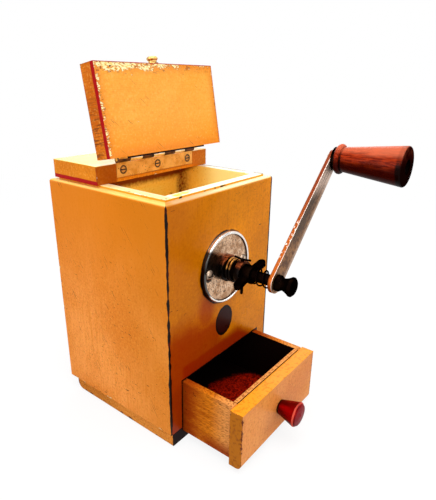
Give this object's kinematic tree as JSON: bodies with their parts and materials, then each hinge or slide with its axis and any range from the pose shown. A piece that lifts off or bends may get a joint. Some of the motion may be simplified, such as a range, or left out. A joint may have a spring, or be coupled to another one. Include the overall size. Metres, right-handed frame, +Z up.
{
  "type": "hand coffee mill",
  "caption": "Box-shaped wooden hand coffee mill with a hinged hopper lid, a side crank on a horizontal shaft, conical burrs with a wing-nut adjuster and a drawer for the grounds.",
  "frame": {"origin": "on the standing plane, under the middle of the case, on the base board's underside", "axes": "+Z up, the front with the crank and the drawer faces -Y, +X to the right as seen from the front"},
  "size_m": [0.1475, 0.2149, 0.2668],
  "materials": {
    "painted_wood": "glossy yellow-orange paint, worn at the edges",
    "inner_wood": "thin cream-yellow paint, stained",
    "bare_wood": "bare wood darkened by use",
    "red_wood": "glossy deep red paint",
    "grip_wood": "red-brown varnish",
    "brass": "dull brass",
    "steel": "pitted bright steel",
    "dark_steel": "dark oxidised steel",
    "iron": "dark cast iron"
  },
  "bodies": {
    "case": {"left_panel": "painted_wood", "right_panel": "painted_wood", "front_panel": "painted_wood", "back_panel": "painted_wood", "left_board": "inner_wood", "right_board": "inner_wood", "front_board": "inner_wood", "back_board": "inner_wood", "hopper_back": "inner_wood", "hopper_floor": "inner_wood", "drawer_roof": "bare_wood", "base_board": "painted_wood", "left_runner": "painted_wood", "right_runner": "painted_wood", "hinge_block": "painted_wood", "block_leaf": "brass", "hinge_pin": "brass", "block_leaf_screws": "dark_steel", "face_plate": "steel", "face_plate_screws": "steel", "bearing_sleeve": "dark_steel", "ring_nut": "dark_steel", "mill_housing": "iron", "burr_ring": "iron", "rear_bridge": "iron", "bridge_screws": "dark_steel"},
    "lid": {"lid_board": "painted_wood", "lid_knob": "brass", "lid_leaf": "brass", "lid_leaf_screws": "dark_steel"},
    "drawer": {"drawer_front": "painted_wood", "drawer_inner_front": "bare_wood", "drawer_left": "bare_wood", "drawer_right": "bare_wood", "drawer_back": "bare_wood", "drawer_bottom": "bare_wood", "drawer_knob": "red_wood", "drawer_knob_screw": "steel"},
    "collar": {"thrust_collar": "dark_steel", "split_pin": "dark_steel"},
    "adjuster": {"wing_nut": "dark_steel"},
    "crank": {"shaft": "steel", "burr_cone": "iron", "burr_nut": "dark_steel", "spring": "dark_steel", "crank_arm": "steel", "crank_nut": "dark_steel", "grip_spindle": "dark_steel", "neck_washer": "dark_steel"},
    "grip": {"grip": "grip_wood"}
  },
  "joints": [
    {"name": "lid_hinge", "type": "hinge", "parent": "case", "child": "lid", "pos_m": [0, 0.0062, 0.19905], "axis": [1, 0, 0], "range_deg": [-75, 100]},
    {"name": "drawer_slide", "type": "slide", "parent": "case", "child": "drawer", "axis": [0, -1, 0], "range_m": [-0.0433, 0.035]},
    {"name": "crank_turn", "type": "hinge", "parent": "case", "child": "collar", "pos_m": [0, -0.0746, 0.124], "axis": [0, -1, 0], "range_deg": [-95, 184]},
    {"name": "adjust_turn", "type": "hinge", "parent": "collar", "child": "adjuster", "pos_m": [0, -0.0806, 0.124], "axis": [0, 1, 0], "range_deg": [-55, 80]},
    {"name": "shaft_draw", "type": "slide", "parent": "collar", "child": "crank", "axis": [0, -1, 0], "range_m": [-0.00019, 0.00027]},
    {"name": "grip_spin", "type": "hinge", "parent": "crank", "child": "grip", "pos_m": [0.07352, -0.1319, 0.19855], "axis": [0, -1, 0], "continuous": true}
  ],
  "couplings": [
    {"joint": "adjust_turn", "follows": "shaft_draw", "rad_per_m": 5026.6}
  ]
}
